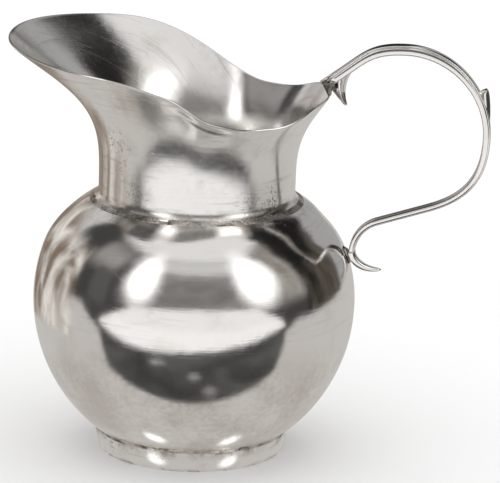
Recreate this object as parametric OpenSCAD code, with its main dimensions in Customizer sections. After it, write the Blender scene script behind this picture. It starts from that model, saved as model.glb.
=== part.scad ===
// Silver water pitcher: a raised bowl on a foot ring, a flared neck with a
// wide pouring spout, and a ribbed cast handle with three small spurs.
// Millimetres. Z is up, the table is z = 0 and the bowl's axis is the Z axis.
// The handle points to +X and the spout to -X; the XZ plane is the mirror plane.

/* [Sheet] */
// Thickness of the silver sheet of bowl and neck
wall = 1; // [0.8:0.1:1.4]
// Thickness of the foot ring's strip
foot_wall = 1.6; // [1.2:0.1:2.4]

/* [Bowl] */
// Radius of the bowl at its widest
bowl_r = 75; // [70:0.5:80]
// Height of the bowl's widest line above the table
bowl_mid_z = 72; // [68:0.5:76]
// Height of the ellipse that the lower bowl follows
bowl_lower_h = 77; // [75:0.5:80]
// Height of the flat floor's outside above the table
floor_z = 6.2; // [5:0.1:8]
// How far the middle of the floor is pushed up
floor_rise = 1.5; // [0.5:0.1:3]
// Height of the seam where the bowl meets the neck
crease_z = 120; // [118:0.5:123]
// Outer radius of the bowl and neck at the seam
crease_r = 48.6; // [47.5:0.1:50]
// Height over which the shoulder leaves the widest line
shoulder_lift = 27; // [23:0.5:30]
// How far below the seam the shoulder turns outward
shoulder_drop = 6.5; // [5:0.1:8]
// How far outside the seam the shoulder turns outward
shoulder_out = 11.5; // [10:0.1:13]

/* [Foot] */
// Radius of the foot ring on the table
foot_r = 43; // [40:0.1:44.5]
// Radius of the foot ring at its top edge
foot_top_r = 45.2; // [43.5:0.1:46.5]

/* [Neck and spout] */
// Radius of the neck at its narrowest
waist_r = 45.6; // [43:0.1:47]
// Height over which the neck curves in from the seam
waist_rise = 5.2; // [4.5:0.1:7]
// Height at which the neck starts to flare
flare_z = 125; // [122:0.5:130]
// Radius of the rim beside the handle
rim_back_r = 60.5; // [56:0.5:66]
// Radius of the rim where it is pinched in
rim_pinch_r = 53.6; // [50:0.2:58]
// Reach of the spout's tip from the axis
spout_reach = 88.6; // [80:0.2:96]
// Height of the rim beside the handle
rim_back_z = 171.3; // [168:0.1:176]
// Height of the lowest part of the rim
rim_low_z = 164.8; // [160:0.2:168]
// Height of the spout's tip
spout_z = 194; // [188:0.5:200]

/* [Handle] */
// Width of the handle across the mirror plane
handle_w = 7.6; // [6:0.1:9]
// Thickness of the handle at its root on the rim
handle_root_t = 4.6; // [4:0.1:6]
// Thickness of the handle at the top of its arch
handle_top_t = 5; // [4:0.1:6]
// Thickness of the handle down its side
handle_side_t = 3.6; // [3:0.1:5]
// Thickness of the handle along its lower arm
handle_arm_t = 3; // [2.6:0.1:4]
// Distance of the arch's highest point from the axis
arch_x = 94; // [88:0.5:100]
// Height of the arch's centre line at its highest point
arch_z = 194.4; // [190:0.2:200]
// Distance of the handle's outermost point from the axis
side_x = 133; // [126:0.5:140]
// Height of the handle's outermost point
side_z = 155; // [148:0.5:162]
// Distance of the lower arm's outer end from the axis
arm_outer_x = 107; // [102:0.5:112]
// Distance of the lower arm's inner end from the axis
arm_inner_x = 84; // [80:0.5:90]
// Height of the lower arm's inner end
arm_inner_z = 112; // [108:0.1:116]
// Slope of the lower arm in degrees
arm_slope = 18; // [12:0.2:24]
// Height at which the handle ends on the bowl
handle_end_z = 97.5; // [94:0.5:100]

/* [Spurs] */
// Distance of the upper spur's tip from the axis
upper_spur_x = 67.8; // [66:0.1:71]
// Height of the upper spur's tip
upper_spur_z = 166.6; // [164:0.1:170]
// Distance of the lower spur's tip from the axis
lower_spur_x = 86.8; // [82:0.2:90]
// Height of the lower spur's tip
lower_spur_z = 89.2; // [86:0.2:93]
// Distance of the thumb spur's tip from the axis
thumb_x = 132; // [131.5:0.1:132.5]
// Height of the thumb spur's tip
thumb_z = 177.4; // [175:0.2:180]

/* [Hidden] */

lower_steps = 26;
shoulder_steps = 20;
around_steps = 96;
flare_steps = 18;
// Step along the neck over which its direction is taken.
fine = 0.01;

// Where the rim widens and climbs, in degrees from the handle.
widen_from = 29;
widen_to = 179;
climb_from = 55;
climb_to = 128;
back_arc = 30;
back_arc_blend = 39;
back_lift_arc = 17;
back_lift_blend = 36;
// Part of the climb that is done beside the spout, before its tip.
side_climb = 24;
// A soft fold in the rim on the -Y side: its angle, its width and its height.
fold_at = 270;
fold_w = 6.5;
fold_h = 1.1;

// The handle's root: its slope, its straight length, and its level end face's place on the rim.
root_slope = 37;
root_length = 8;
root_out = -1.5;
root_up = 6.3;
// How far the curves of the handle keep their direction from each point on it.
root_pull = 13;
arch_pull_back = 15;
arch_pull = 22;
side_pull_up = 21;
side_pull = 22.5;
arm_pull = 16;
bend_pull = 7;
end_pull = [0.6, 6.5];
// How far inside the bowl's widest radius the handle's lower end lies.
contact_in = 2.2;

// Widths of the spurs across the mirror plane at start and end, the widths of the upper two
// at their tips in it, and the lower spur's thicknesses at start and end.
upper_spur_w = [7, 0.8];
upper_spur_blunt = 1.5;
thumb_w = [4.6, 2.4];
thumb_blunt = 0.7;
lower_spur_w = [7.6, 1.6];
lower_spur_t = [3.6, 1];
// How the curves of the spurs' edges leave the handle's root, the bowl or a tip.
upper_inner_from = [[-1.4, 1], [0.4, -2]];
upper_outer_from = [[13.6, 8.4], [8, 2.9]];
upper_inner_arrive = [-5, 4.3];
upper_outer_arrive = [-1.8, 5.9];
lower_spur_leave = [0.6, -5.5];
lower_spur_arrive = [-7.5, -0.6];
thumb_inner_leave = [[-6.5, -0.6], [-3.5, -8.4]];
thumb_outer_leave = [[1.6, -0.6], [2.7, -12.2]];
// Where the thumb spur's edges run out: outwards from the handle's side, down from the tip.
thumb_inner_end = [0.2, 20.9];
thumb_outer_end = [0.9, 21.3];

// Height over which the foot's bottom edge is chamfered, and how its wall curves.
foot_edge = 0.4;
foot_curve = 0.8;
foot_steps = 20;
// Places on the floor, as parts of its radius, where its dome is drawn.
floor_stops = [0, 0.5, 0.9];

// How far the solder runs past the seams, how proud of the sheet it stands, and how wide
// the pads under the handle's ends are.
neck_solder_run = 1.1;
neck_solder_proud = 0.18;
foot_solder_run = 1.2;
foot_solder_proud = 0.3;
upper_pad_w = 6;
lower_pad_w = 5.6;
lower_pad_from = 91.5;
lower_pad_to = 99.5;
// Places on the shoulder's curve and parts of the foot's height between which solder lies.
neck_solder_on = [0.985, 0.965];
foot_solder_on = [0.9, 0.94];
// How far the upper pad laps over the rim's sheet, and its two corners on the handle's root.
upper_pad_lap = 0.3;
upper_pad_reach = [3, 2.4];
// Outer corners of the lower pad, from the handle's lower end.
lower_pad_corners = [[-1.8, 0.8], [-1.75, -1.5], [-0.2, -5.2]];

function mix(a, b, t) = a + (b - a) * t;
function clamp01(t) = min(1, max(0, t));
function ease(t) = let (c = clamp01(t)) c ^ 3 * (10 - 15 * c + 6 * c ^ 2);
function unit(v) = v / norm(v);
function left_of(v) = [-v[1], v[0]];
function bezier(c, t) =
    c[0] * (1 - t) ^ 3 + 3 * c[1] * t * (1 - t) ^ 2 + 3 * c[2] * t ^ 2 * (1 - t) + c[3] * t ^ 3;
function bezier_way(c, t) =
    unit((c[1] - c[0]) * (1 - t) ^ 2 + 2 * (c[2] - c[1]) * t * (1 - t) + (c[3] - c[2]) * t ^ 2);

// Outline of the bowl, as [radius, height], from the floor up to the crease.
function lower_r(z) = bowl_r * sqrt(1 - ((bowl_mid_z - z) / bowl_lower_h) ^ 2);
function lower_z(a) = bowl_mid_z - bowl_lower_h * sin(a);
lower_start = asin((bowl_mid_z - floor_z) / bowl_lower_h);
shoulder_curve = [[bowl_r, bowl_mid_z],
                  [bowl_r, bowl_mid_z + shoulder_lift],
                  [crease_r + shoulder_out, crease_z - shoulder_drop],
                  [crease_r, crease_z]];
floor_outline = [for (t = floor_stops)
    [t * lower_r(floor_z), floor_z + floor_rise * (1 - t ^ 2) ^ 2]];
lower_outline = [for (i = [0 : lower_steps])
    let (a = lower_start * (1 - i / lower_steps)) [bowl_r * cos(a), lower_z(a)]];
shoulder_outline = [for (i = [1 : shoulder_steps]) bezier(shoulder_curve, i / shoulder_steps)];
bowl_outline = concat(floor_outline, lower_outline, shoulder_outline);

// The same outline moved inwards by the sheet's thickness.
function outline_way(line, i) =
    unit(line[min(i + 1, len(line) - 1)] - line[max(i - 1, 0)]);
function inner_point(line, i) = line[i] + wall * left_of(outline_way(line, i));
bowl_lining = [for (i = [1 : len(bowl_outline) - 2]) inner_point(bowl_outline, i)];

// Radius and height of the rim at an angle from the handle.
function from_handle(a) = a > 180 ? 360 - a : a;
function share(a, from, span) = ease((from_handle(a) - from) / span);
function fold(x) = x * exp((1 - x ^ 2) / 2);
function rim_r(a) =
    rim_back_r - (rim_back_r - rim_pinch_r) * share(a, back_arc, back_arc_blend)
    + (spout_reach - rim_pinch_r) * share(a, widen_from, widen_to - widen_from);
function rim_z(a) =
    rim_back_z - (rim_back_z - rim_low_z) * share(a, back_lift_arc, back_lift_blend)
    + side_climb * share(a, climb_from, climb_to - climb_from)
    + (spout_z - rim_low_z - side_climb) * share(a, 90, 90)
    - fold_h * fold((a - fold_at) / fold_w);

// The neck's wall: u runs from 0 at the crease to 1 at the rim.
function flare(u) = u ^ 4 * (3 - 2 * u);
function waist(z) = waist_r + (crease_r - waist_r) * (1 - clamp01((z - crease_z) / waist_rise)) ^ 3;
function neck_point(a, u) =
    let (z = mix(crease_z, rim_z(a), u),
         f = flare(clamp01((z - flare_z) / (rim_z(a) - flare_z))))
    [waist(z) + (rim_r(a) - waist_r) * f, z];
function neck_lining(a, u) =
    let (way = unit(neck_point(a, min(1, u + fine)) - neck_point(a, max(0, u - fine))))
    neck_point(a, u) + wall * left_of(way);
function spun(p, angle) = [p[0] * cos(angle), p[0] * sin(angle), p[1]];

// A solid skin through rings of points that all have the same number of points.
module skin(rings) {
    n = len(rings[0]);
    last = len(rings) - 1;
    sides = [for (k = [0 : last - 1], i = [0 : n - 1])
        let (j = (i + 1) % n)
        each [[k * n + i, (k + 1) * n + i, k * n + j],
              [k * n + j, (k + 1) * n + i, (k + 1) * n + j]]];
    start_cap = [for (i = [0 : n - 1]) i];
    end_cap = [for (i = [n - 1 : -1 : 0]) last * n + i];
    polyhedron([for (ring = rings) each ring], concat(sides, [start_cap, end_cap]));
}

// The handle's section, as [across, outward] for a width of 2 and a thickness of 2:
// a flat inner face, short upright sides and a roof that is rounded over them.
inner_half = [[0.45, -1], [0.84, -0.96], [1, -0.72]];
roof_half = [for (a = [0 : 18 : 72]) [cos(a), sin(a)]];
right_half = concat(inner_half, roof_half);
ribbed_section = concat(right_half, [[0, 1]],
    [for (i = [len(right_half) - 1 : -1 : 0]) [-right_half[i][0], right_half[i][1]]]);
round_section = [for (a = [-90 : 30 : 240]) [cos(a), sin(a)]];

// One ring of a section at a point of the mirror plane; out is the outward direction.
function ring(section, p, out, width, thick) =
    [for (s = section)
        [p[0] + out[0] * s[1] * thick / 2, s[0] * width / 2, p[1] + out[1] * s[1] * thick / 2]];

// Centre line of the handle: root, arch, side, bend, lower arm and the drop to the bowl.
root_way = [cos(root_slope), sin(root_slope)];
arm_way = [-cos(arm_slope), -sin(arm_slope)];
root_start = [rim_back_r + root_out, rim_back_z + root_up];
root_end = root_start + root_length * root_way;
arch_top = [arch_x, arch_z];
side_point = [side_x, side_z];
arm_inner = [arm_inner_x, arm_inner_z];
arm_outer = arm_inner - arm_way * (arm_outer_x - arm_inner_x) / cos(arm_slope);
bowl_contact = [bowl_r - contact_in, handle_end_z];
handle_curves = [
    [root_end, root_end + root_pull * root_way, arch_top - [arch_pull_back, 0], arch_top],
    [arch_top, arch_top + [arch_pull, 0], side_point + [0, side_pull_up], side_point],
    [side_point, side_point - [0, side_pull], arm_outer - arm_pull * arm_way, arm_outer],
    [arm_inner, arm_inner + bend_pull * arm_way, bowl_contact + end_pull, bowl_contact]];
curve_steps = [11, 16, 14, 9];
curve_thick = [[handle_root_t, handle_top_t], [handle_top_t, handle_side_t],
               [handle_side_t, handle_arm_t], [handle_arm_t, handle_arm_t]];
function curve_ring(c, t) =
    ring(ribbed_section, bezier(handle_curves[c], t), left_of(bezier_way(handle_curves[c], t)),
         handle_w, mix(curve_thick[c][0], curve_thick[c][1], ease(t)));
root_ring = [for (s = ribbed_section)
    [root_start[0] - s[1] * handle_root_t / 2 / sin(root_slope), s[0] * handle_w / 2,
     root_start[1]]];
handle_rings = concat([root_ring],
    [for (c = [0 : 3], i = [0 : curve_steps[c]])
        if (i > 0 || c == 0 || c == 3) curve_ring(c, i / curve_steps[c])]);

// The spurs are horns in the mirror plane that stay full along most of their length. Two lie
// between an inner and an outer edge curve, the third follows a curve with a thickness.
function taper(ends, k) = mix(ends[1], ends[0], 1 - k ^ 2.4);
function rung(section, a, b, width) = ring(section, (a + b) / 2, unit(b - a), width, norm(b - a));
function edged_rings(inner, outer, w, steps) =
    [for (i = [0 : steps])
        let (k = i / steps)
        rung(round_section, bezier(inner, k), bezier(outer, k), taper(w, k))];
function horn_rings(curve, section, w, t, steps) =
    [for (i = [0 : steps])
        let (k = i / steps)
        ring(section, bezier(curve, k), left_of(bezier_way(curve, k)), taper(w, k), taper(t, k))];

upper_tip = [upper_spur_x, upper_spur_z];
upper_half_tip = [upper_spur_blunt / 2, 0];
upper_inner = [root_start + upper_inner_from[0], root_start + upper_inner_from[1],
               upper_tip + upper_inner_arrive, upper_tip - upper_half_tip];
upper_outer = [root_start + upper_outer_from[0], root_start + upper_outer_from[1],
               upper_tip + upper_outer_arrive, upper_tip + upper_half_tip];
lower_tip = [lower_spur_x, lower_spur_z];
lower_spur_curve = [bowl_contact, bowl_contact + lower_spur_leave,
                    lower_tip + lower_spur_arrive, lower_tip];
thumb_tip = [thumb_x, thumb_z];
thumb_half_tip = [thumb_blunt / 2, 0];
thumb_inner = [thumb_tip - thumb_half_tip, thumb_tip + thumb_inner_leave[0],
               thumb_tip + thumb_inner_leave[1],
               [side_x + thumb_inner_end[0], thumb_z - thumb_inner_end[1]]];
thumb_outer = [thumb_tip + thumb_half_tip, thumb_tip + thumb_outer_leave[0],
               thumb_tip + thumb_outer_leave[1],
               [side_x + thumb_outer_end[0], thumb_z - thumb_outer_end[1]]];

module bowl() {
    color("silver")
    rotate_extrude($fn = 120)
    polygon(concat(bowl_outline, [[crease_r - wall, crease_z]],
        [for (i = [len(bowl_lining) - 1 : -1 : 0]) bowl_lining[i]],
        [[0, floor_z + floor_rise + wall]]));
}

// Height of the bowl's outside at a radius of its lower half.
function foot_top_z(r) = bowl_mid_z - bowl_lower_h * sqrt(1 - (r / bowl_r) ^ 2);

// The foot ring's outer wall, from the table at 0 to its top edge at 1.
function foot_wall_r(t) = mix(foot_r, foot_top_r, t ^ foot_curve);
function foot_wall_z(t) = t * foot_top_z(foot_top_r);

module foot_ring() {
    color("silver")
    rotate_extrude($fn = 120)
    polygon(concat([[foot_r - foot_wall, 0], [foot_r - foot_edge, 0]],
        [for (i = [1 : foot_steps]) [foot_wall_r(i / foot_steps), foot_wall_z(i / foot_steps)]],
        [[foot_top_r - foot_wall, foot_top_z(foot_top_r - foot_wall)]]));
}

module neck_and_spout() {
    n = around_steps;
    m = flare_steps + 1;
    angles = [for (i = [0 : n - 1]) 360 * i / n];
    outside = [for (a = angles, k = [0 : flare_steps])
        spun(neck_point(a, k / flare_steps), a)];
    inside = [for (a = angles, k = [0 : flare_steps])
        spun(neck_lining(a, k / flare_steps), a)];
    shift = n * m;
    walls = [for (i = [0 : n - 1], k = [0 : flare_steps - 1])
        let (p = i * m + k, q = (i + 1) % n * m + k)
        each [[p, p + 1, q], [q, p + 1, q + 1],
              [shift + p, shift + q, shift + p + 1],
              [shift + q, shift + q + 1, shift + p + 1]]];
    edges = [for (i = [0 : n - 1])
        let (p = i * m, q = (i + 1) % n * m, top = flare_steps)
        each [[p, q, shift + p], [q, shift + q, shift + p],
              [p + top, shift + p + top, q + top],
              [q + top, shift + p + top, shift + q + top]]];
    color("gainsboro") polyhedron(concat(outside, inside), concat(walls, edges));
}

module handle() {
    color("silver") skin(handle_rings);
}

module upper_spur() {
    color("silver")
    skin(edged_rings(upper_inner, upper_outer, upper_spur_w, 16));
}

module lower_spur() {
    color("silver")
    skin(horn_rings(lower_spur_curve, ribbed_section, lower_spur_w, lower_spur_t, 14));
}

module thumb_spur() {
    color("silver")
    skin(edged_rings(thumb_inner, thumb_outer, thumb_w, 16));
}

module neck_seam_solder() {
    color("dimgray")
    rotate_extrude($fn = 120)
    polygon([[crease_r, crease_z], bezier(shoulder_curve, neck_solder_on[0]),
             bezier(shoulder_curve, neck_solder_on[1]),
             [crease_r + neck_solder_proud, crease_z + neck_solder_proud],
             [waist(crease_z + neck_solder_run), crease_z + neck_solder_run],
             [waist(crease_z + neck_solder_run / 2), crease_z + neck_solder_run / 2]]);
}

module foot_seam_solder() {
    color("dimgray")
    rotate_extrude($fn = 120)
    polygon([[foot_top_r, foot_top_z(foot_top_r)],
             [foot_wall_r(foot_solder_on[0]), foot_wall_z(foot_solder_on[0])],
             [foot_top_r + foot_solder_proud, foot_wall_z(foot_solder_on[1])],
             [foot_top_r + foot_solder_run, foot_top_z(foot_top_r + foot_solder_run)]]);
}

// Radius of the bowl's outside at a height of its upper half.
function bowl_side_r(z) = lookup(z, [for (p = shoulder_outline) [p[1], p[0]]]);

// A small pad across the mirror plane, drawn as [x, z].
module pad(outline, width) {
    rotate([90, 0, 0]) linear_extrude(width, center = true) polygon(outline);
}

module upper_handle_solder() {
    color("dimgray")
    pad([[rim_back_r - wall - upper_pad_lap, rim_back_z], [rim_back_r + upper_pad_lap, rim_back_z],
         root_start + [upper_pad_reach[1], 0], root_start - [upper_pad_reach[0], 0]], upper_pad_w);
}

module lower_handle_solder() {
    contact = [for (z = [lower_pad_from : 2 : lower_pad_to]) [bowl_side_r(z), z]];
    color("dimgray")
    pad(concat(contact, [for (corner = lower_pad_corners) bowl_contact + corner]), lower_pad_w);
}

bowl();
foot_ring();
neck_and_spout();
handle();
thumb_spur();
upper_spur();
lower_spur();
neck_seam_solder();
foot_seam_solder();
upper_handle_solder();
lower_handle_solder();
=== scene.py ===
"""Silver water pitcher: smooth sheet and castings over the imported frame, worn silver, soft studio."""
from math import asin, copysign, cos, exp, pi, radians, sin, sqrt

import bpy
from mathutils import Matrix, Vector, noise


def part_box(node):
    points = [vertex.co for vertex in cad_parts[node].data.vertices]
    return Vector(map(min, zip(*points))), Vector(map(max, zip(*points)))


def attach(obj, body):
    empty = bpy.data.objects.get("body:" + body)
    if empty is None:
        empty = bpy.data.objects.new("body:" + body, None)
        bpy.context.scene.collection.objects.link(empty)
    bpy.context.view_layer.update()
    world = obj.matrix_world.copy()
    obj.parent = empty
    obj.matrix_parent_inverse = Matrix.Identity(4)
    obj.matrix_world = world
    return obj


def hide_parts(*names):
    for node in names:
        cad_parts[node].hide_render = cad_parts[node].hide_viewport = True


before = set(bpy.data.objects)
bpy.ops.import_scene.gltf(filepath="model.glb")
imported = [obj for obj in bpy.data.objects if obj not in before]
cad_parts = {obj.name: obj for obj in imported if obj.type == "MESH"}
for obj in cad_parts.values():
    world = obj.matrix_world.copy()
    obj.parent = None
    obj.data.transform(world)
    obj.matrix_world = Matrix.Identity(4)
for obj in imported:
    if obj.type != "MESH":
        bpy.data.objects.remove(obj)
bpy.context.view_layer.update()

MM = 0.001
# The u coordinate of one turn about the axis, in metres.
AROUND = 0.36
# The v coordinate of one turn about a casting's section, in metres; 0 is mid inner face on the handle.
SECTION_V = 0.02

# ---------------------------------------------------------------- driving sizes, in millimetres
BOWL_LOW, BOWL_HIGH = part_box("bowl")
NECK_LOW, NECK_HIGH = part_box("neck_and_spout")
FOOT_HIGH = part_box("foot_ring")[1]

# The sheet's thickness, and what the frame says of the bowl, the foot and the rim.
WALL = 1.0
BOWL_R = BOWL_HIGH[0] / MM
FLOOR_Z = BOWL_LOW[2] / MM
CREASE_Z = BOWL_HIGH[2] / MM
FOOT_TOP_R = FOOT_HIGH[0] / MM
SPOUT_REACH = -NECK_LOW[0] / MM
RIM_BACK_R = NECK_HIGH[0] / MM

# Bowl: its widest height, the height of the ellipse below that, and the curve of its shoulder.
BOWL_MID_Z = 72.0
BOWL_LOWER_H = 77.0
FLOOR_RISE = 1.5
CREASE_R = 48.6
SHOULDER_LIFT = 27.0
SHOULDER_DROP = 6.5
SHOULDER_OUT = 11.5
# Radius of the pinhole that is left at the axis.
AXIS_R = 0.02

# Hammering: how wide its hollows are, and their depth.
HAMMER_SIZE = 34.0
HAMMER_DEPTH = 0.08
# Depth, height and spread of the swelling towards the spout and of the hollow towards the handle.
SPOUT_SWELLING = (0.7, 101, 10)
HANDLE_HOLLOW = (0.9, 112, 6)

# Foot: its radius and thickness, and how far its bottom edge is drawn in and up.
FOOT_R = 43.0
FOOT_WALL = 1.6
FOOT_CURVE = 0.8
FOOT_EDGE = 0.4
FOOT_EDGE_H = 0.25

# Neck and rim: radii and heights at the waist, the handle, the low sides and the spout.
WAIST_R = 45.6
WAIST_RISE = 5.2
FLARE_Z = 125.0
RIM_PINCH_R = 53.6
RIM_BACK_Z = 171.3
RIM_LOW_Z = 164.8
SPOUT_Z = 194.0
SIDE_CLIMB = 24.0
# Where each change of the rim starts and how long it lasts, in degrees from the handle.
PINCH_SPAN = (30, 39)
SPOUT_SPAN = (29, 150)
DIP_SPAN = (17, 36)
CLIMB_SPAN = (55, 73)
LIP_SPAN = (90, 90)
# The fold in the rim on the -Y side, and the bent line under it: place and half length in
# degrees, place, slant and spread as shares of the neck's height, and depth.
FOLD_AT = 270.0
FOLD_W = 6.5
FOLD_H = 1.1
DENT_AT = 277
DENT_HALF = 15
DENT_LINE = 0.93
DENT_SLANT = 0.012
DENT_SPREAD = 0.018
DENT_DEPTH = 0.5

# Handle: its width, its thickness along the way, and the points that its curves pass.
HANDLE_W = 7.6
HANDLE_ROOT_T = 4.6
HANDLE_TOP_T = 5.0
HANDLE_SIDE_T = 3.6
HANDLE_ARM_T = 3.0
ROOT_SLOPE = radians(37)
ROOT_LENGTH = 8.0
ROOT_START = Vector((RIM_BACK_R - 1.5, RIM_BACK_Z + 6.3))
ARCH_TOP = Vector((94.0, 194.4))
SIDE_POINT = Vector((133.0, 155.0))
ARM_INNER = Vector((84.0, 112.0))
ARM_RUN = 23.0
ARM_SLOPE = radians(18)
BOWL_CONTACT = Vector((BOWL_R - 2.2, 97.5))

# Spurs: their tips, half the width of the blunt ones, and their sizes at the start and the end.
UPPER_TIP = Vector((67.8, 166.6))
UPPER_BLUNT = Vector((0.75, 0))
UPPER_WIDTHS = (7.0, 0.8)
LOWER_TIP = Vector((86.8, 89.2))
LOWER_WIDTHS = (7.6, 1.6)
LOWER_THICKS = (3.6, 1.0)
THUMB_TIP = Vector((132.0, 177.4))
THUMB_BLUNT = Vector((0.35, 0))
THUMB_WIDTHS = (4.6, 2.4)

# Solder: steps along each side of a seam, how proud each run stands, and the pads' widths.
SEAM_STEPS = 5
NECK_SOLDER_PROUD = 0.18
FOOT_SOLDER_PROUD = 0.45
SOLDER_SUNK = 0.15
UPPER_PAD_W = 6.0
LOWER_PAD_W = 5.6


# ---------------------------------------------------------------- small mathematics
def mix(a, b, t):
    return a + (b - a) * t


def clamp01(t):
    return min(1.0, max(0.0, t))


def ease(t):
    c = clamp01(t)
    return c ** 3 * (10 - 15 * c + 6 * c * c)


def left_of(way):
    return Vector((-way[1], way[0]))


def bezier(c, t):
    s = 1 - t
    return c[0] * s ** 3 + c[1] * (3 * t * s * s) + c[2] * (3 * t * t * s) + c[3] * t ** 3


def bezier_way(c, t):
    s = 1 - t
    return ((c[1] - c[0]) * s * s + (c[2] - c[1]) * (2 * t * s) + (c[3] - c[2]) * t * t).normalized()


# ---------------------------------------------------------------- mesh building
def piece_from(name, points, faces, uvs, node_name):
    """A smooth mesh object from points in millimetres; uvs holds one (u, v) in metres per point.

    A face that closes a full turn gets its last u one turn on, so that no texture is squeezed in it.
    """
    mesh = bpy.data.meshes.new(name)
    mesh.from_pydata([Vector(p) * MM for p in points], [], faces)
    layer = mesh.uv_layers.new(name="length")
    for polygon in mesh.polygons:
        corners = [uvs[mesh.loops[k].vertex_index] for k in polygon.loop_indices]
        far = max(u for u, _ in corners)
        for k, (u, v) in zip(polygon.loop_indices, corners):
            layer.data[k].uv = (u + AROUND if far - u > AROUND / 2 else u, v)
    mesh.shade_smooth()
    mesh.validate()
    obj = bpy.data.objects.new(name, mesh)
    bpy.context.scene.collection.objects.link(obj)
    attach(obj, "root")
    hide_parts(node_name)
    return obj


def grid_faces(rows, columns, close_rows, close_columns):
    """Quads over rows of points, joined end to end where asked."""
    faces = []
    for i in range(rows if close_rows else rows - 1):
        for k in range(columns if close_columns else columns - 1):
            a = i * columns + k
            b = i * columns + (k + 1) % columns
            c = (i + 1) % rows * columns + (k + 1) % columns
            d = (i + 1) % rows * columns + k
            faces.append((a, d, c, b))
    return faces


def lengths_along(points):
    total = [0.0]
    for a, b in zip(points, points[1:]):
        total.append(total[-1] + (Vector(b) - Vector(a)).length)
    return total


def turned(loop_at, steps, ripple=None):
    """Points, faces and uvs of a closed loop of (radius, height) turned about Z.

    loop_at gives the loop at an angle in degrees, and ripple what is added to its radius.
    """
    points = []
    uvs = []
    for i in range(steps):
        angle = 2 * pi * i / steps
        loop = loop_at(360 * i / steps)
        for (r, z), v in zip(loop, lengths_along(loop)):
            grow = ripple(angle, r, z) if ripple else 0.0
            points.append(((r + grow) * cos(angle), (r + grow) * sin(angle), z))
            uvs.append((i / steps * AROUND, v * MM))
    return points, grid_faces(steps, len(points) // steps, True, True), uvs


def half_turn(end, across, steps):
    """Points of the half circle from end to end + across, bulging to the right of across."""
    centre = end + across / 2
    arm = end - centre
    swing = Vector((-arm[1], arm[0]))
    return [centre + arm * cos(pi * k / steps) + swing * sin(pi * k / steps) for k in range(1, steps)]


# ---------------------------------------------------------------- bowl and foot
SHOULDER = [Vector((BOWL_R, BOWL_MID_Z)), Vector((BOWL_R, BOWL_MID_Z + SHOULDER_LIFT)),
            Vector((CREASE_R + SHOULDER_OUT, CREASE_Z - SHOULDER_DROP)), Vector((CREASE_R, CREASE_Z))]


def lower_r(z):
    return BOWL_R * sqrt(1 - ((BOWL_MID_Z - z) / BOWL_LOWER_H) ** 2)


def lower_z(r):
    return BOWL_MID_Z - BOWL_LOWER_H * sqrt(1 - (r / BOWL_R) ** 2)


def bowl_outline():
    """The outside of the bowl from the middle of its floor to the crease."""
    floor_steps, lower_steps, shoulder_steps = 14, 70, 60
    edge = lower_r(FLOOR_Z)
    floor = [Vector((AXIS_R, FLOOR_Z + FLOOR_RISE))]
    for k in range(1, floor_steps):
        t = k / floor_steps
        floor.append(Vector((edge * t, FLOOR_Z + FLOOR_RISE * (1 - ease(t)))))
    start = asin((BOWL_MID_Z - FLOOR_Z) / BOWL_LOWER_H)
    lower = []
    for k in range(lower_steps + 1):
        a = start * (1 - k / lower_steps)
        lower.append(Vector((BOWL_R * cos(a), BOWL_MID_Z - BOWL_LOWER_H * sin(a))))
    shoulder = [bezier(SHOULDER, (k + 1) / shoulder_steps) for k in range(shoulder_steps)]
    return floor + lower + shoulder


def lining(line):
    """The same outline moved inwards by the sheet's thickness."""
    inner = []
    for i, point in enumerate(line):
        way = (line[min(i + 1, len(line) - 1)] - line[max(i - 1, 0)]).normalized()
        inner.append(point + left_of(way) * WALL)
    return inner


def swelling(towards, z, depth, height, spread):
    """A low swelling on one side; towards is 1 facing that side and 0 or less past its edges."""
    return depth * clamp01(towards) ** 2 * exp(-((z - height) / spread) ** 2)


def hand_raised(angle, r, z):
    """The unevenness of a bowl raised by hammer, which fades out at the crease and the foot."""
    place = Vector((r * cos(angle), r * sin(angle), z)) / HAMMER_SIZE
    fade_above, fade_below = 14, 10
    calm = ease((CREASE_Z - z) / fade_above) * ease((z - FOOT_HIGH[2] / MM) / fade_below)
    return calm * (swelling(-cos(angle), z, *SPOUT_SWELLING) - swelling(cos(angle), z, *HANDLE_HOLLOW)
                   - HAMMER_DEPTH * (1 + noise.noise(place)))


def make_bowl():
    outside = bowl_outline()
    inside = lining(outside)[:-1]
    inside[0] = Vector((AXIS_R, FLOOR_Z + FLOOR_RISE + WALL))
    outline = outside + [Vector((CREASE_R - WALL, CREASE_Z))] + inside[::-1]
    points, faces, uvs = turned(lambda _: outline, 288, hand_raised)
    return piece_from("bowl_sheet", points, faces, uvs, "bowl")


def foot_wall(t):
    """A point on the outside of the foot, a share t of the way up."""
    r = mix(FOOT_R, FOOT_TOP_R, t ** FOOT_CURVE)
    return Vector((r, t * lower_z(FOOT_TOP_R)))


def make_foot():
    """The foot ring: a strip rounded over at the table, shaped to the bowl above."""
    outer_steps, inner_steps = 20, 8
    outer = [foot_wall((k + 1) / outer_steps) for k in range(outer_steps)]
    low = Vector((FOOT_R - FOOT_EDGE, 0.0))
    toe = [low + Vector((FOOT_EDGE * sin(a), FOOT_EDGE_H * (1 - cos(a)))) for a in (0, 0.5, 0.9, 1.2)]
    top_in = Vector((FOOT_TOP_R - FOOT_WALL, lower_z(FOOT_TOP_R - FOOT_WALL)))
    low_in = Vector((FOOT_R - FOOT_WALL, 0.0))
    inner = [top_in.lerp(low_in, k / inner_steps) for k in range(inner_steps + 1)]
    outline = toe + outer + inner
    points, faces, uvs = turned(lambda _: outline, 256)
    return piece_from("foot_band", points, faces, uvs, "foot_ring")


# ---------------------------------------------------------------- neck and spout
def from_handle(a):
    return 360 - a if a > 180 else a


def share(a, start, span):
    """How much of a change of the rim has happened at an angle."""
    return ease((from_handle(a) - start) / span)


def fold(x):
    """A rise and a drop side by side, each 1 high at a distance of 1."""
    return x * exp((1 - x * x) / 2)


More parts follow.
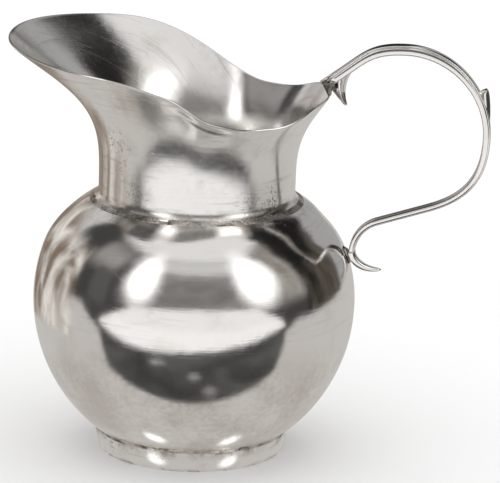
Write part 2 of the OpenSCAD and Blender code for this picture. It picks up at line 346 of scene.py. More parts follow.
def rim_r(a):
    return (RIM_BACK_R - (RIM_BACK_R - RIM_PINCH_R) * share(a, *PINCH_SPAN)
            + (SPOUT_REACH - RIM_PINCH_R) * share(a, *SPOUT_SPAN))


def rim_z(a):
    return (RIM_BACK_Z - (RIM_BACK_Z - RIM_LOW_Z) * share(a, *DIP_SPAN)
            + SIDE_CLIMB * share(a, *CLIMB_SPAN)
            + (SPOUT_Z - RIM_LOW_Z - SIDE_CLIMB) * share(a, *LIP_SPAN)
            - FOLD_H * fold((a - FOLD_AT) / FOLD_W))


def waist(z):
    """Radius of the neck below its flare, where it widens to meet the crease."""
    return WAIST_R + (CREASE_R - WAIST_R) * (1 - clamp01((z - CREASE_Z) / WAIST_RISE)) ** 3


def neck_point(a, u):
    """A point on the outside of the sheet, a share u of the way from the crease to the rim."""
    z = mix(CREASE_Z, rim_z(a), u)
    f = clamp01((z - FLARE_Z) / (rim_z(a) - FLARE_Z))
    return Vector((waist(z) + (rim_r(a) - WAIST_R) * f ** 4 * (3 - 2 * f), z))


def crease_dent(a, u):
    """Depth of a shallow bent line just under the rim, where the sheet was folded on the -Y side."""
    way = (a - DENT_AT) / DENT_HALF
    if abs(way) >= 1:
        return 0.0
    across = (u - DENT_LINE - DENT_SLANT * way) / DENT_SPREAD
    return DENT_DEPTH * (1 - way * way) ** 2 * exp(-across * across)


def neck_loop(a):
    """The sheet's closed outline at one angle: up the outside, over the rim, down the inside."""
    steps = 64
    nearby = 0.01
    outside = []
    inside = []
    for k in range(steps + 1):
        u = k / steps
        point = neck_point(a, u)
        way = neck_point(a, min(1, u + nearby)) - neck_point(a, max(0, u - nearby))
        side = left_of(way.normalized())
        dent = side * crease_dent(a, u)
        outside.append(point + dent)
        inside.append(point + side * WALL + dent)
    drop = (outside[-2] - outside[-1]).normalized() * WALL / 2
    outside[-1] = outside[-1] + drop
    inside[-1] = inside[-1] + drop
    over = half_turn(outside[-1], inside[-1] - outside[-1], 6)
    return outside + over + inside[::-1]


def make_neck():
    points, faces, uvs = turned(neck_loop, 480)
    return piece_from("neck_sheet", points, faces, uvs, "neck_and_spout")


# ---------------------------------------------------------------- handle and spurs
GROOVE_AT = radians(30)
GROOVE_SPREAD = radians(8)
GROOVE_DEPTH = 0.13


def ribbed_section(fine):
    """A flat inner face, short sides, and a rounded roof with a groove low on each flank."""
    half = [Vector((x, -1)) for x in (0.0, 0.25, 0.5, 0.62)]
    half += [Vector((0.68 + 0.32 * sin(k * pi / 12), -0.62 - 0.38 * cos(k * pi / 12)))
             for k in range(1, 7)]
    half += [Vector((1, -0.40)), Vector((1, -0.2)), Vector((0.995, -0.05))]
    for k in range(fine):
        a = k * pi / 2 / fine
        sunk = 1 - GROOVE_DEPTH * exp(-((a - GROOVE_AT) / GROOVE_SPREAD) ** 2)
        half.append(Vector((0.97 * cos(a) * sunk, 0.1 + 0.9 * sin(a) * sunk)))
    top = [Vector((0, 1))]
    mirrored = [Vector((-p[0], p[1])) for p in half[:0:-1]]
    return half + top + mirrored


def keeled_section(ridge, count=32):
    """Two soft keels, widest at the given place along the outward direction."""
    points = []
    for k in range(count):
        a = 2 * pi * k / count
        across = copysign(abs(cos(a)) ** 1.6, cos(a))
        reach = 1 - ridge if sin(a) > 0 else 1 + ridge
        points.append(Vector((across, ridge + reach * copysign(abs(sin(a)) ** 1.6, sin(a)))))
    return points


def swept(section, stations):
    """Points, faces and uvs of a section carried through (place, outward, width, thickness)."""
    points = []
    uvs = []
    run = 0.0
    last = stations[0][0]
    for place, out, width, thick in stations:
        run += (place - last).length
        last = place
        for k, s in enumerate(section):
            offset = out * (s[1] * thick / 2)
            points.append((place[0] + offset[0], s[0] * width / 2, place[1] + offset[1]))
            uvs.append((run * MM, k / len(section) * SECTION_V))
    rows = len(stations)
    faces = grid_faces(rows, len(section), False, True)
    faces.append(tuple(range(len(section))))
    faces.append(tuple((rows - 1) * len(section) + k for k in range(len(section)))[::-1])
    return points, faces, uvs


ROOT_WAY = Vector((cos(ROOT_SLOPE), sin(ROOT_SLOPE)))
ARM_WAY = Vector((-cos(ARM_SLOPE), -sin(ARM_SLOPE)))
ROOT_END = ROOT_START + ROOT_WAY * ROOT_LENGTH
ARM_OUTER = ARM_INNER - ARM_WAY * (ARM_RUN / cos(ARM_SLOPE))
# First and last thickness, steps and Bezier points of each stretch, from the root to the bowl.
HANDLE_CURVES = [
    (HANDLE_ROOT_T, HANDLE_TOP_T, 48,
     [ROOT_END, ROOT_END + ROOT_WAY * 13, ARCH_TOP - Vector((15, 0)), ARCH_TOP]),
    (HANDLE_TOP_T, HANDLE_SIDE_T, 64,
     [ARCH_TOP, ARCH_TOP + Vector((22, 0)), SIDE_POINT + Vector((0, 21)), SIDE_POINT]),
    (HANDLE_SIDE_T, HANDLE_ARM_T, 56,
     [SIDE_POINT, SIDE_POINT - Vector((0, 22.5)), ARM_OUTER - ARM_WAY * 16, ARM_OUTER]),
    (HANDLE_ARM_T, HANDLE_ARM_T, 24,
     [ARM_OUTER, ARM_OUTER.lerp(ARM_INNER, 0.33), ARM_OUTER.lerp(ARM_INNER, 0.67), ARM_INNER]),
    (HANDLE_ARM_T, HANDLE_ARM_T, 36,
     [ARM_INNER, ARM_INNER + ARM_WAY * 7, BOWL_CONTACT + Vector((0.6, 6.5)), BOWL_CONTACT])]


def make_handle():
    """The ribbed casting, cut level on the rim and swept over the arch down to the bowl."""
    stations = [(ROOT_START, Vector((-1, 0)), HANDLE_W, HANDLE_ROOT_T / sin(ROOT_SLOPE))]
    stations += [(ROOT_START.lerp(ROOT_END, t), left_of(ROOT_WAY), HANDLE_W, HANDLE_ROOT_T)
                 for t in (0.5, 0.625, 0.75, 0.875)]
    for first, last, steps, curve in HANDLE_CURVES:
        for k in range(0 if curve[0] == ROOT_END else 1, steps + 1):
            t = k / steps
            stations.append((bezier(curve, t), left_of(bezier_way(curve, t)), HANDLE_W,
                             mix(first, last, ease(t))))
    points, faces, uvs = swept(ribbed_section(20), stations)
    return piece_from("handle_casting", points, faces, uvs, "handle")


def tapered(ends, t):
    """A width that stays near its first value along most of a spur."""
    return mix(ends[1], ends[0], 1 - t ** 2.4)


def between(inner, outer, widths):
    """Stations of a spur that fills the mirror plane between two edge curves."""
    def station(t):
        a, b = bezier(inner, t), bezier(outer, t)
        return (a + b) / 2, (b - a).normalized(), tapered(widths, t), (b - a).length
    return station


def following(curve, widths, thicks):
    """Stations of a spur that follows one curve."""
    def station(t):
        return bezier(curve, t), left_of(bezier_way(curve, t)), tapered(widths, t), tapered(thicks, t)
    return station


def make_horn(name, node_name, section, station, round_start=False):
    """A spur through its stations, with its free end rounded over."""
    stations = []
    steps = 48
    rounded_share, tip_share = 0.07, 0.08
    for k in range(steps + 1):
        t = k / steps
        free = t if round_start else 1 - t
        blunt = max(tip_share, sqrt(1 - (1 - min(free / rounded_share, 1.0)) ** 2))
        place, out, width, thick = station(t)
        stations.append((place, out, width * blunt, thick * blunt))
    points, faces, uvs = swept(section, stations)
    return piece_from(name, points, faces, uvs, node_name)


def make_upper_spur():
    """The thorn under the handle's root: broad against the handle, narrow at its tip."""
    inner = [ROOT_START + Vector((-1.4, 1)), ROOT_START + Vector((0.4, -2)),
             UPPER_TIP + Vector((-5, 4.3)), UPPER_TIP - UPPER_BLUNT]
    outer = [ROOT_START + Vector((13.6, 8.4)), ROOT_START + Vector((8, 2.9)),
             UPPER_TIP + Vector((-1.8, 5.9)), UPPER_TIP + UPPER_BLUNT]
    return make_horn("upper_horn", "upper_spur", keeled_section(0.0),
                     between(inner, outer, UPPER_WIDTHS))


def make_lower_spur():
    """The horn that curls out and up below the handle's lower end."""
    curve = [BOWL_CONTACT, BOWL_CONTACT + Vector((0.6, -5.5)),
             LOWER_TIP + Vector((-7.5, -0.6)), LOWER_TIP]
    return make_horn("lower_horn", "lower_spur", ribbed_section(10),
                     following(curve, LOWER_WIDTHS, LOWER_THICKS))


def make_thumb_spur():
    """The horn on the outside of the handle, free at its top and run into the handle below."""
    foot = Vector((SIDE_POINT[0], THUMB_TIP[1]))
    inner = [THUMB_TIP - THUMB_BLUNT, THUMB_TIP + Vector((-6.5, -0.6)),
             THUMB_TIP + Vector((-3.5, -8.4)), foot + Vector((0.2, -20.9))]
    outer = [THUMB_TIP + THUMB_BLUNT, THUMB_TIP + Vector((1.6, -0.6)),
             THUMB_TIP + Vector((2.7, -12.2)), foot + Vector((0.9, -21.3))]
    return make_horn("thumb_horn", "thumb_spur", keeled_section(0.25),
                     between(inner, outer, THUMB_WIDTHS), round_start=True)


# ---------------------------------------------------------------- solder
def lumpy(place):
    return noise.noise(place) + 0.5 * noise.noise(place * 2.3)


def solder_ring(name, node_name, path, way_out, proud):
    """A run of solder along a seam: path lies on the two sheets, and its face is uneven."""
    around = 480
    last = len(path) - 1
    swell = [4 * k / last * (1 - k / last) for k in range(last + 1)]
    back = [p - way_out * SOLDER_SUNK for p in path[:0:-1]]
    points = []
    uvs = []
    for i in range(around):
        angle = 2 * pi * i / around
        place = Vector((cos(angle) * 9, sin(angle) * 9, path[0][1])) * 0.8
        height = proud * mix(0.2, 1.0, clamp01(0.5 + 0.9 * lumpy(place)))
        face = [p + way_out * (height * m) for p, m in zip(path, swell)]
        for k, p in enumerate(face + back):
            points.append((p[0] * cos(angle), p[0] * sin(angle), p[1]))
            uvs.append((i / around * AROUND, k * 0.3 * MM))
    faces = grid_faces(around, len(points) // around, True, True)
    return piece_from(name, points, faces, uvs, node_name)


def solder_pad(name, node_name, outline, width):
    """A solder pad across the mirror plane with softly rounded sides."""
    middle = sum((Vector(p) for p in outline), Vector((0, 0))) / len(outline)
    points = []
    uvs = []
    rows = 13
    for i in range(rows):
        t = i / (rows - 1) * 2 - 1
        size = mix(0.72, 1.0, sqrt(1 - 0.97 * t * t))
        for k, p in enumerate(outline):
            q = middle.lerp(Vector(p), size)
            points.append((q[0], t * width / 2, q[1]))
            uvs.append((t * width / 2 * MM, k * 2 * MM))
    count = len(outline)
    faces = grid_faces(rows, count, False, True)
    faces.append(tuple(range(count)))
    faces.append(tuple((rows - 1) * count + k for k in range(count))[::-1])
    return piece_from(name, points, faces, uvs, node_name)


def shoulder_r(z):
    """Radius of the bowl's outside at a height of its upper half."""
    low, high = 0.0, 1.0
    for _ in range(40):
        middle = (low + high) / 2
        if bezier(SHOULDER, middle)[1] < z:
            low = middle
        else:
            high = middle
    return bezier(SHOULDER, low)[0]


def make_seams():
    """The two runs of solder, each from a little way along one sheet to a little way along the other."""
    steps = range(SEAM_STEPS + 1)
    onward = range(1, SEAM_STEPS + 1)
    neck_path = [bezier(SHOULDER, 0.965 + 0.035 * k / SEAM_STEPS) for k in steps]
    neck_path += [Vector((waist(CREASE_Z + 0.22 * k), CREASE_Z + 0.22 * k)) for k in onward]
    foot_path = [foot_wall(0.9 + 0.1 * k / SEAM_STEPS) for k in steps]
    foot_path += [Vector((FOOT_TOP_R + 0.24 * k, lower_z(FOOT_TOP_R + 0.24 * k))) for k in onward]
    return [solder_ring("neck_solder", "neck_seam_solder", neck_path,
                        Vector((0.87, 0.5)), NECK_SOLDER_PROUD),
            solder_ring("foot_solder", "foot_seam_solder", foot_path,
                        Vector((0.9, -0.44)), FOOT_SOLDER_PROUD)]


def make_pads():
    """The solder at the handle's two ends."""
    upper = [(RIM_BACK_R - WALL - 0.3, RIM_BACK_Z), (RIM_BACK_R + 0.3, RIM_BACK_Z),
             (RIM_BACK_R + 0.6, RIM_BACK_Z + 3), ROOT_START + Vector((2.4, 0)),
             ROOT_START - Vector((3, 0)), (RIM_BACK_R - WALL - 1.8, RIM_BACK_Z + 3)]
    against_bowl = [BOWL_CONTACT[1] + rise for rise in (-6, -4, -2, 0, 2)]
    lower = [(shoulder_r(z), z) for z in against_bowl]
    lower += [BOWL_CONTACT + Vector((-1.8, 0.8)), BOWL_CONTACT + Vector((-1.75, -1.5)),
              BOWL_CONTACT + Vector((-0.2, -5.2))]
    return [solder_pad("upper_solder", "upper_handle_solder", upper, UPPER_PAD_W),
            solder_pad("lower_solder", "lower_handle_solder", lower, LOWER_PAD_W)]


# ---------------------------------------------------------------- materials
SILVER = (0.91, 0.895, 0.875, 1)
# Tarnish, also the colour of the painted shade on casting inner faces and along the foot's bottom edge.
TARNISH_AND_SHADE = (0.26, 0.21, 0.165, 1)
SOOT = (0.03, 0.025, 0.02, 1)
BLOOM = (0.60, 0.545, 0.50, 1)
SOLDER = (0.70, 0.67, 0.63, 1)
SOLDER_DIRT = (0.13, 0.105, 0.085, 1)
# Direction in radians, fineness and strength of each set of scratches.
SCRATCH_SETS = ((0.5, 700.0, 1.0), (-0.9, 560.0, 0.8), (1.9, 640.0, 0.7))
# Depths in metres of the turning lines (at a brush of 1), the scratches and the solder's grain.
LINE_DEPTH = 0.00003
SCRATCH_DEPTH = 0.000004
SOLDER_GRAIN_DEPTH = 0.00025


def add_node(tree, kind, inputs=None, **settings):
    """A shader node; inputs are constants or other nodes' output sockets."""
    node = tree.nodes.new(kind)
    for name, value in settings.items():
        setattr(node, name, value)
    for name, value in (inputs or {}).items():
        if isinstance(value, bpy.types.NodeSocket):
            tree.links.new(value, node.inputs[name])
        else:
            node.inputs[name].default_value = value
    return node


def calculated(tree, operation, a, b=0.0, c=0.0):
    return add_node(tree, "ShaderNodeMath", {0: a, 1: b, 2: c}, operation=operation).outputs[0]


def stretched(tree, vector, scale):
    """A vector multiplied by a different amount along each axis."""
    node = add_node(tree, "ShaderNodeVectorMath", {0: vector, 1: scale}, operation="MULTIPLY")
    return node.outputs[0]


def noisy(tree, vector, scale, detail=3.0, rough=0.55, distort=0.0):
    node = add_node(tree, "ShaderNodeTexNoise", {
        "Vector": vector, "Scale": scale, "Detail": detail, "Roughness": rough,
        "Distortion": distort})
    return node.outputs["Fac"]


def ranged(tree, value, low, high, to_low=0.0, to_high=1.0):
    """A smooth step from one value to another."""
    node = add_node(tree, "ShaderNodeMapRange", {
        "Value": value, "From Min": low, "From Max": high, "To Min": to_low, "To Max": to_high},
        interpolation_type="SMOOTHSTEP")
    return node.outputs[0]


def blended(tree, factor, a, b):
    node = add_node(tree, "ShaderNodeMix", {"Factor": factor}, data_type="RGBA")
    for name, value in (("A", a), ("B", b)):
        socket = [s for s in node.inputs if s.name == name and s.type == "RGBA"][0]
        if isinstance(value, bpy.types.NodeSocket):
            tree.links.new(value, socket)
        else:
            socket.default_value = value
    return [s for s in node.outputs if s.type == "RGBA"][0]


def scratches(tree, vector, turn, scale, amount):
    """Fine straight lines in one direction: noise drawn out long and cut to its crests."""
    rotated = add_node(tree, "ShaderNodeVectorRotate", {"Vector": vector, "Angle": turn},
                       rotation_type="Z_AXIS").outputs[0]
    drawn = stretched(tree, rotated, (scale * 0.035, scale, scale))
    lines = noisy(tree, drawn, 1.0, 2.0, 0.5, 0.6)
    patches = noisy(tree, vector, scale * 0.02, 1.0)
    crest = ranged(tree, lines, 0.665, 0.70)
    return calculated(tree, "MULTIPLY", crest, ranged(tree, patches, 0.48, 0.62, 0.0, amount))


def height_mask(tree, height, centre, spread):
    """1 at a height in metres, fading to 0 at a distance of spread."""
    offset = calculated(tree, "ABSOLUTE", calculated(tree, "SUBTRACT", height, centre))
    return ranged(tree, offset, 0.0, spread, 1.0, 0.0)


def summed(tree, values):
    total = values[0]
    for value in values[1:]:
        total = calculated(tree, "ADD", total, value)
    return total


def near_point(tree, place, centre, spread, strength):
    """A patch around a place on the pitcher, fading to nothing at a distance of spread."""
    distance = add_node(tree, "ShaderNodeVectorMath", {0: place, 1: centre},
                        operation="DISTANCE").outputs["Value"]
    return ranged(tree, distance, 0.0, spread, strength, 0.0)


def silver(name, rough, brush, dents, seams_and_floor_shade, tarnish, grime, across=0.0, bloom=0.0, inner=0.0):
    """Worn polished silver.

    rough is the base roughness, brush the depth of the turning lines, dents the unevenness,
    seams_and_floor_shade a list of (height, spread, strength) of darker bands, tarnish gathered
    along a seam or painted shade along the foot's bottom edge, tarnish its amount elsewhere,
    grime a list of (place, spread, strength) where soot has settled, across how much the
    turning lines draw reflections out, bloom how hazy the underside of the bowl has become, and
    inner how much painted shade darkens a casting's inner face.
    """
    material = bpy.data.materials.new(name)
    material.use_nodes = True
    tree = material.node_tree
    tree.nodes.clear()
    place = add_node(tree, "ShaderNodeTexCoord").outputs["Object"]
    length = add_node(tree, "ShaderNodeUVMap", uv_map="length").outputs["UV"]
    xyz = add_node(tree, "ShaderNodeSeparateXYZ", {0: place})
    reach = add_node(tree, "ShaderNodeSeparateXYZ", {0: length}).outputs["Y"]
    ringed = add_node(tree, "ShaderNodeCombineXYZ", {
        "X": xyz.outputs["X"], "Y": xyz.outputs["Y"], "Z": reach}).outputs[0]

    cloudy = noisy(tree, place, 55.0, 4.0, 0.6)
    mottled = noisy(tree, place, 420.0, 3.0, 0.6)
    lines = noisy(tree, stretched(tree, ringed, (38.0, 38.0, 1500.0)), 1.0, 4.0, 0.7, 0.4)
    bands = noisy(tree, stretched(tree, ringed, (24.0, 24.0, 330.0)), 1.0, 3.0, 0.6)
    marks = summed(tree, [scratches(tree, length, *kind) for kind in SCRATCH_SETS])

    # Tarnish in clouds, in turning bands and along seams; the same sum carries painted shade on casting
    # inner faces and along the foot's bottom edge.
    stain_and_shade = [ranged(tree, cloudy, 0.50, 0.78, 0.0, tarnish),
             ranged(tree, bands, 0.56, 0.72, 0.0, tarnish * brush)]
    broken = ranged(tree, noisy(tree, place, 95.0, 5.0, 0.7), 0.42, 0.66)
    # Darker bands by height: tarnish along a seam, or painted shade where the foot stands on the floor.
    for centre, spread, strength in seams_and_floor_shade:
        near = height_mask(tree, xyz.outputs["Z"], centre, spread)
        near = calculated(tree, "MULTIPLY", near, strength)
        stain_and_shade.append(calculated(tree, "MULTIPLY", near, broken))
    # Painted shade: a casting's inner face is darkened in the tarnish colour, a little unevenly in
    # clouds.
    if inner:
        nearest = calculated(tree, "MINIMUM", reach, calculated(tree, "SUBTRACT", SECTION_V, reach))
        painted_inner_shade = ranged(tree, nearest, 0.0012, 0.0023, inner, 0.0)
        stain_and_shade.append(calculated(tree, "MULTIPLY", painted_inner_shade, ranged(tree, cloudy, 0.25, 0.55, 0.6, 1.0)))
    stain_and_shade = calculated(tree, "MINIMUM", summed(tree, stain_and_shade), 1.0)
    soot = 0.0
    speckle = calculated(tree, "MULTIPLY", ranged(tree, noisy(tree, place, 880.0, 6.0, 0.8), 0.50, 0.60),
                         ranged(tree, noisy(tree, place, 210.0, 3.0, 0.6), 0.42, 0.56))
    for centre, spread, strength in grime:
        patch = near_point(tree, place, centre, spread, strength)
        soot = calculated(tree, "MAXIMUM", soot, calculated(tree, "MULTIPLY", patch, speckle))
    colour = blended(tree, stain_and_shade, SILVER, TARNISH_AND_SHADE)
    haze = 0.0
    if bloom:
        low = ranged(tree, xyz.outputs["Z"], 0.040, 0.070, bloom, bloom * 0.1)
        clouds = calculated(tree, "MULTIPLY_ADD", mottled, 0.45, noisy(tree, place, 34.0, 5.0, 0.62))
        haze = calculated(tree, "MULTIPLY", low, ranged(tree, clouds, 0.58, 0.92))
        colour = blended(tree, haze, colour, BLOOM)
    colour = blended(tree, soot, colour, SOOT)

    roughness = ranged(tree, mottled, 0.30, 0.75, rough * 0.85, rough * 1.25)
    for wear, added in ((lines, brush * 0.12), (marks, 0.10), (stain_and_shade, 0.25), (soot, 0.40), (haze, 0.12)):
        roughness = calculated(tree, "MULTIPLY_ADD", wear, added, roughness)

    wavy = add_node(tree, "ShaderNodeBump", {
        "Strength": 1.0, "Distance": dents, "Height": noisy(tree, place, 60.0, 2.0, 0.45)})
    grained = add_node(tree, "ShaderNodeBump", {
        "Strength": 1.0, "Distance": brush * LINE_DEPTH, "Height": lines,
        "Normal": wavy.outputs[0]})
    scored = add_node(tree, "ShaderNodeBump", {
        "Strength": 1.0, "Distance": SCRATCH_DEPTH, "Height": marks,
        "Normal": grained.outputs[0]}, invert=True)

    shader = add_node(tree, "ShaderNodeBsdfPrincipled", {
        "Base Color": colour, "Metallic": 1.0, "Roughness": roughness,
        "Normal": scored.outputs[0]})
    if across:
        turning = add_node(tree, "ShaderNodeTangent", direction_type="RADIAL", axis="Z")
        tree.links.new(turning.outputs[0], shader.inputs["Tangent"])
        shader.inputs["Anisotropic"].default_value = across
        shader.inputs["Anisotropic Rotation"].default_value = 0.25
    output = add_node(tree, "ShaderNodeOutputMaterial")
    tree.links.new(shader.outputs[0], output.inputs["Surface"])
    return material


def solder_material():
    """Dull silver solder, lumpy, pitted and blackened in its hollows."""
    material = bpy.data.materials.new("run_solder")
    material.use_nodes = True
    tree = material.node_tree
    tree.nodes.clear()
    place = add_node(tree, "ShaderNodeTexCoord").outputs["Object"]
    patches = noisy(tree, place, 110.0, 4.0, 0.65)
    grain = noisy(tree, place, 900.0, 4.0, 0.6)
    dirt = ranged(tree, calculated(tree, "MULTIPLY_ADD", grain, 0.35, patches), 0.55, 0.85)
    colour = blended(tree, dirt, SOLDER, SOLDER_DIRT)
    roughness = ranged(tree, dirt, 0.0, 1.0, 0.24, 0.55)
    bump = add_node(tree, "ShaderNodeBump", {
        "Strength": 1.0, "Distance": SOLDER_GRAIN_DEPTH, "Height": grain})
    shader = add_node(tree, "ShaderNodeBsdfPrincipled", {
        "Base Color": colour, "Metallic": 1.0, "Roughness": roughness, "Normal": bump.outputs[0]})
    output = add_node(tree, "ShaderNodeOutputMaterial")
    tree.links.new(shader.outputs[0], output.inputs["Surface"])
    return material


# ---------------------------------------------------------------- camera
CAMERA_TURN = radians(4.0)
CAMERA_RISE = radians(15.4)
CAMERA_AWAY = 2.0
CAMERA_ROLL = radians(1.55)
CAMERA_LENS = 309.6
AIM = Vector((0.0, 0.0, 0.1))
# How far the aim point lies left of and above the middle of the view, as angles.
AIM_LEFT = radians(0.724)
AIM_UP = radians(0.040)


def make_camera():
    data = bpy.data.cameras.new("studio_camera")
    data.lens = CAMERA_LENS
    data.sensor_width = 36
    data.clip_start = 0.01
    data.clip_end = 60
    camera = bpy.data.objects.new("studio_camera", data)
    bpy.context.scene.collection.objects.link(camera)
    offset = Vector((cos(CAMERA_RISE) * sin(CAMERA_TURN), -cos(CAMERA_RISE) * cos(CAMERA_TURN),
                     sin(CAMERA_RISE)))
    turn = (Matrix.Rotation(CAMERA_TURN, 4, "Z") @ Matrix.Rotation(pi / 2 - CAMERA_RISE, 4, "X")
            @ Matrix.Rotation(CAMERA_ROLL, 4, "Z")
            @ Matrix.Rotation(-AIM_LEFT, 4, "Y") @ Matrix.Rotation(-AIM_UP, 4, "X"))
    camera.matrix_world = Matrix.Translation(AIM + offset * CAMERA_AWAY) @ turn
    bpy.context.scene.camera = camera


# ---------------------------------------------------------------- studio
STUDIO_TURN = Matrix.Rotation(CAMERA_TURN, 4, "Z")
CARD_CENTRE = Vector((0.0, 0.0, 0.075))


def glow_material(name, colour, strength, soft=(0.0, 0.0), streaks=None, dark=None, oval=None):
    """Light that fades towards the edges of a card, or as an oval.

    soft is the (across, up) share of a card over which it fades, and oval that of an oval.
    streaks is the (across, up) fineness of a pattern that mixes the colour with dark.
    """
    material = bpy.data.materials.new(name)
    material.use_nodes = True
    tree = material.node_tree
    tree.nodes.clear()
    uv = add_node(tree, "ShaderNodeUVMap", uv_map="card").outputs["UV"]
    if oval:
        distance = add_node(tree, "ShaderNodeVectorMath", {0: uv, 1: (0.5, 0.5, 0.0)},
                            operation="DISTANCE").outputs["Value"]
        mask = ranged(tree, distance, 0.5 - oval, 0.5, 1.0, 0.0)
    else:
        split = add_node(tree, "ShaderNodeSeparateXYZ", {0: uv})
        mask = 1.0
        for axis, margin in (("X", soft[0]), ("Y", soft[1])):
            edge = calculated(tree, "MINIMUM", split.outputs[axis],
                              calculated(tree, "SUBTRACT", 1.0, split.outputs[axis]))
            mask = calculated(tree, "MULTIPLY", mask, ranged(tree, edge, 0.0, max(margin, 0.001)))
    if streaks:
        pattern = stretched(tree, uv, (streaks[0], streaks[1], 1.0))
        colour = blended(tree, ranged(tree, noisy(tree, pattern, 1.0, 4.0, 0.6, 1.2), 0.38, 0.62),
                         dark, colour)
    light = add_node(tree, "ShaderNodeEmission", {"Color": colour, "Strength": strength})
    clear = add_node(tree, "ShaderNodeBsdfTransparent")
    both = add_node(tree, "ShaderNodeMixShader", {0: mask})
    tree.links.new(clear.outputs[0], both.inputs[1])
    tree.links.new(light.outputs[0], both.inputs[2])
    output = add_node(tree, "ShaderNodeOutputMaterial")
    tree.links.new(both.outputs[0], output.inputs["Surface"])
    return material


def reflected_only(obj):
    """A studio card that shows in reflections and nowhere else."""
    obj.visible_camera = False
    obj.visible_diffuse = False
    obj.visible_shadow = False
    obj.visible_transmission = False
    obj.visible_volume_scatter = False


def card(name, turn, rise, away, colour, strength, **fade):
    """A curved card around the bowl, seen in reflections only.

    turn and rise are (from, to) in degrees from the way to the lens, and away is in metres.
    """
    columns, rows = 24, 16
    points = []
    uvs = []
    for k in range(rows + 1):
        for i in range(columns + 1):
            a = radians(mix(turn[0], turn[1], i / columns))
            e = radians(mix(rise[0], rise[1], k / rows))
            points.append(Vector((cos(e) * sin(a), -cos(e) * cos(a), sin(e))) * away)
            uvs.append((i / columns, k / rows))
    mesh = bpy.data.meshes.new(name)
    mesh.from_pydata(points, [], grid_faces(rows + 1, columns + 1, False, False))
    layer = mesh.uv_layers.new(name="card")
    for loop in mesh.loops:
        layer.data[loop.index].uv = uvs[loop.vertex_index]
    obj = bpy.data.objects.new(name, mesh)
    bpy.context.scene.collection.objects.link(obj)
    obj.matrix_world = Matrix.Translation(CARD_CENTRE) @ STUDIO_TURN
    mesh.materials.append(glow_material(name, colour, strength, **fade))
    reflected_only(obj)


def sheet(name, corners, material):
    """A flat sheet, level or upright, turned about the pitcher with the camera."""
    mesh = bpy.data.meshes.new(name)
    mesh.from_pydata(corners, [], [tuple(range(len(corners)))])
    layer = mesh.uv_layers.new(name="card")
    flat = [(x, y + z) for x, y, z in corners]
    left, low = min(x for x, _ in flat), min(y for _, y in flat)
    width, depth = max(x for x, _ in flat) - left, max(y for _, y in flat) - low
    for loop in mesh.loops:
        x, y = flat[loop.vertex_index]
        layer.data[loop.index].uv = ((x - left) / width, (y - low) / depth)
    obj = bpy.data.objects.new(name, mesh)
    bpy.context.scene.collection.objects.link(obj)
    obj.matrix_world = STUDIO_TURN.copy()
    mesh.materials.append(material)
    return obj


def plain_material(name, colour):
    material = bpy.data.materials.new(name)
    material.use_nodes = True
    shader = material.node_tree.nodes["Principled BSDF"]
    shader.inputs["Base Color"].default_value = colour
    shader.inputs["Roughness"].default_value = 0.9
    shader.inputs["Specular IOR Level"].default_value = 0.0
    return material


WARM = (1.0, 0.965, 0.92, 1)
CLEAN = (1.0, 0.99, 0.98, 1)
DIM = (1.0, 0.97, 0.94, 1)


def make_floor():
    """The pale floor and light that the lens sees."""
    scene = bpy.context.scene
    scene.view_settings.view_transform = "Standard"
    world = bpy.data.worlds.new("studio")
    scene.world = world
    world.use_nodes = True
    world.node_tree.nodes["Background"].inputs["Color"].default_value = (1, 1, 1, 1)
    world.node_tree.nodes["Background"].inputs["Strength"].default_value = 1.12
    floor = sheet("floor", [(-9, -4, 0), (9, -4, 0), (9, 14, 0), (-9, 14, 0)],
                  plain_material("pale_floor", (0.93, 0.93, 0.93, 1)))
    floor.visible_glossy = False


def make_table():
    """What the silver mirrors low down: the table top, grey with painted shade, the lit floor and wall
    beyond, bright spots.
    """
    wall_at, wall_top = -0.62, 0.180
    # A darker copy of the pale floor, seen only in reflections: its grey is painted shade for the table
    # around the pitcher.
    table = sheet("mirrored_table", [(-3, -0.22, 0), (-0.31, -0.155, 0), (-0.11, -0.09, 0),
                                     (0.11, -0.09, 0), (0.31, -0.17, 0), (0.75, -0.20, 0),
                                     (0.75, 1.2, 0), (0.2, 3, 0), (-3, 3, 0)],
                  plain_material("mirrored_table", (0.54, 0.52, 0.50, 1)))
    lit_table = sheet("lit_table", [(-1.12, wall_at, 0), (1.16, wall_at, 0), (0.53, -0.26, 0),
                                    (0.0, -0.225, 0), (-0.20, -0.185, 0), (-0.50, -0.22, 0)],
                      glow_material("lit_table", CLEAN, 0.98, soft=(0.02, 0.02)))
    lit_wall = sheet("lit_wall", [(-1.12, wall_at, 0), (1.16, wall_at, 0),
                                  (0.60, wall_at, wall_top), (-0.58, wall_at, wall_top)],
                     glow_material("lit_wall", CLEAN, 0.90, soft=(0.02, 0.0)))
    for obj in (table, lit_table, lit_wall):
        reflected_only(obj)

    above_table = 0.0006
    for name, x, y, wide, deep, strength in (("glare_left", -0.0205, -0.0455, 0.010, 0.0042, 1.6),
                                             ("glare_right", 0.0225, -0.0435, 0.010, 0.0042, 1.6),
                                             ("spot_far", -0.062, -0.162, 0.024, 0.018, 0.36),
                                             ("spot_middle", 0.003, -0.134, 0.013, 0.013, 0.34),
                                             ("spot_near", 0.019, -0.105, 0.012, 0.012, 0.30)):
        corners = [(x + side * wide, y + end * deep, above_table)
                   for side, end in ((-1, -1), (1, -1), (1, 1), (-1, 1))]
        reflected_only(sheet(name, corners, glow_material(name, CLEAN, strength, oval=0.42)))


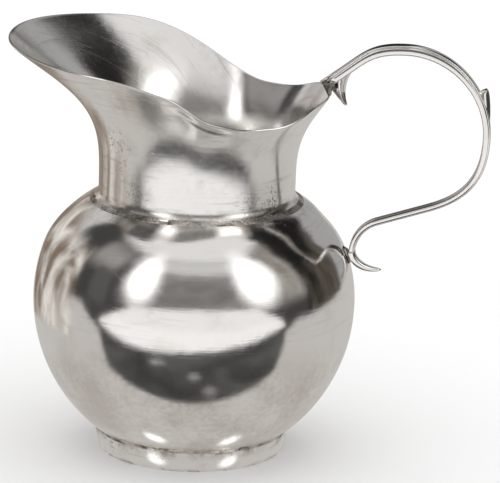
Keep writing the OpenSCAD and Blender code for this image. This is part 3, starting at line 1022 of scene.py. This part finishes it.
def make_cards():
    """The tent, the lamps and the dark gaps between them, from the farthest to the nearest."""
    card("room", (-180, 180), (-90, 90), 4.0, DIM, 0.055)
    card("under_table", (-80, 80), (-90, -8), 3.9, DIM, 0.11, soft=(0.1, 0.2),
         streaks=(3.0, 3.0), dark=(0.42, 0.42, 0.43, 1))
    card("back_left", (-180, -128), (-16, 62), 3.6, CLEAN, 0.58, soft=(0.12, 0.2))
    card("back_right", (126, 180), (-16, 62), 3.6, CLEAN, 0.38, soft=(0.12, 0.2))
    card("wall", (-64, 74), (4, 46), 3.5, DIM, 0.25, soft=(0.12, 0.12),
         streaks=(5.0, 3.0), dark=(0.72, 0.70, 0.68, 1))
    card("ceiling", (-180, 180), (52, 90), 3.4, CLEAN, 0.78, soft=(0.0, 0.22))
    card("front_ceiling", (-70, 72), (38, 62), 3.35, CLEAN, 0.62, soft=(0.16, 0.4))
    card("left_wall", (-104, -60), (20, 62), 3.3, DIM, 0.34, soft=(0.3, 0.5))
    card("right_wash", (58, 100), (2, 62), 3.2, WARM, 0.40, soft=(0.30, 0.2),
         streaks=(9.0, 2.0), dark=(0.45, 0.38, 0.32, 1))
    card("left_dark", (-86, -62), (-4, 36), 2.9, DIM, 0.10, soft=(0.3, 0.25))
    card("left_lamp", (-60, -23), (0, 68), 2.6, CLEAN, 2.3, oval=0.44)
    card("right_lamp", (27, 75), (-1, 68), 2.6, CLEAN, 2.4, oval=0.43)
    card("right_gap", (84, 133), (-18, 36), 2.2, (1.0, 0.86, 0.72, 1), 0.12, soft=(0.15, 0.12),
         streaks=(7.0, 1.2), dark=(0.06, 0.06, 0.065, 1))
    card("upper_gap", (86, 149), (27, 68), 2.15, DIM, 0.012, soft=(0.09, 0.14))
    card("back_gap", (161, 212), (10, 76), 2.1, DIM, 0.02, soft=(0.15, 0.10))
    card("left_neighbour", (-177, -80), (-34, 40), 0.24, WARM, 0.84, soft=(0.08, 0.22),
         streaks=(5.0, 2.2), dark=(0.25, 0.19, 0.145, 1))


# ---------------------------------------------------------------- assembly
def main():
    make_camera()
    make_floor()
    make_table()
    make_cards()
    crease = CREASE_Z * MM
    foot = FOOT_HIGH[2]
    body = silver("worn_silver", 0.055, 0.75, 0.00016,
                  [(crease, 0.006, 0.5), (foot, 0.005, 0.5)], 0.12,
                  [((0.038, -0.029, 0.118), 0.014, 1.0), ((0.052, -0.028, 0.112), 0.010, 0.6)],
                  bloom=0.6)
    neck = silver("neck_silver", 0.125, 1.0, 0.00020, [(crease, 0.007, 0.55)], 0.20,
                  [((0.038, -0.029, 0.125), 0.013, 1.0), ((0.028, -0.040, 0.126), 0.012, 0.8),
                   ((-0.034, -0.031, 0.155), 0.015, 0.9), ((-0.032, -0.033, 0.141), 0.010, 0.6),
                   ((-0.027, -0.040, 0.128), 0.011, 0.7)], across=0.80)
    # The band at height 0 is painted shade along the foot's bottom edge, where it stands on the floor;
    # the band at the foot's top is tarnish along its seam.
    band = silver("foot_silver", 0.13, 0.9, 0.00022, [(foot, 0.006, 0.8), (0.0, 0.002, 0.8)], 0.35,
                  [((-0.034, -0.030, 0.0095), 0.013, 0.9), ((-0.012, -0.044, 0.0095), 0.009, 0.7),
                   ((0.020, -0.040, 0.0100), 0.008, 0.5)], across=0.6)
    # inner=0.75 is painted shade on the castings' inner faces.
    cast = silver("cast_silver", 0.10, 0.3, 0.00010, [], 0.20,
                  [((0.0625, -0.003, 0.1755), 0.006, 1.0), ((0.066, -0.003, 0.1725), 0.006, 0.6),
                   ((0.071, -0.003, 0.094), 0.006, 0.9),
                   ((0.110, -0.003, 0.124), 0.006, 0.3)], inner=0.75)
    dressed = [(body, [make_bowl()]), (band, [make_foot()]), (neck, [make_neck()]),
               (cast, [make_handle(), make_upper_spur(), make_lower_spur(), make_thumb_spur()]),
               (solder_material(), make_seams() + make_pads())]
    for material, pieces in dressed:
        for piece in pieces:
            piece.data.materials.append(material)


main()
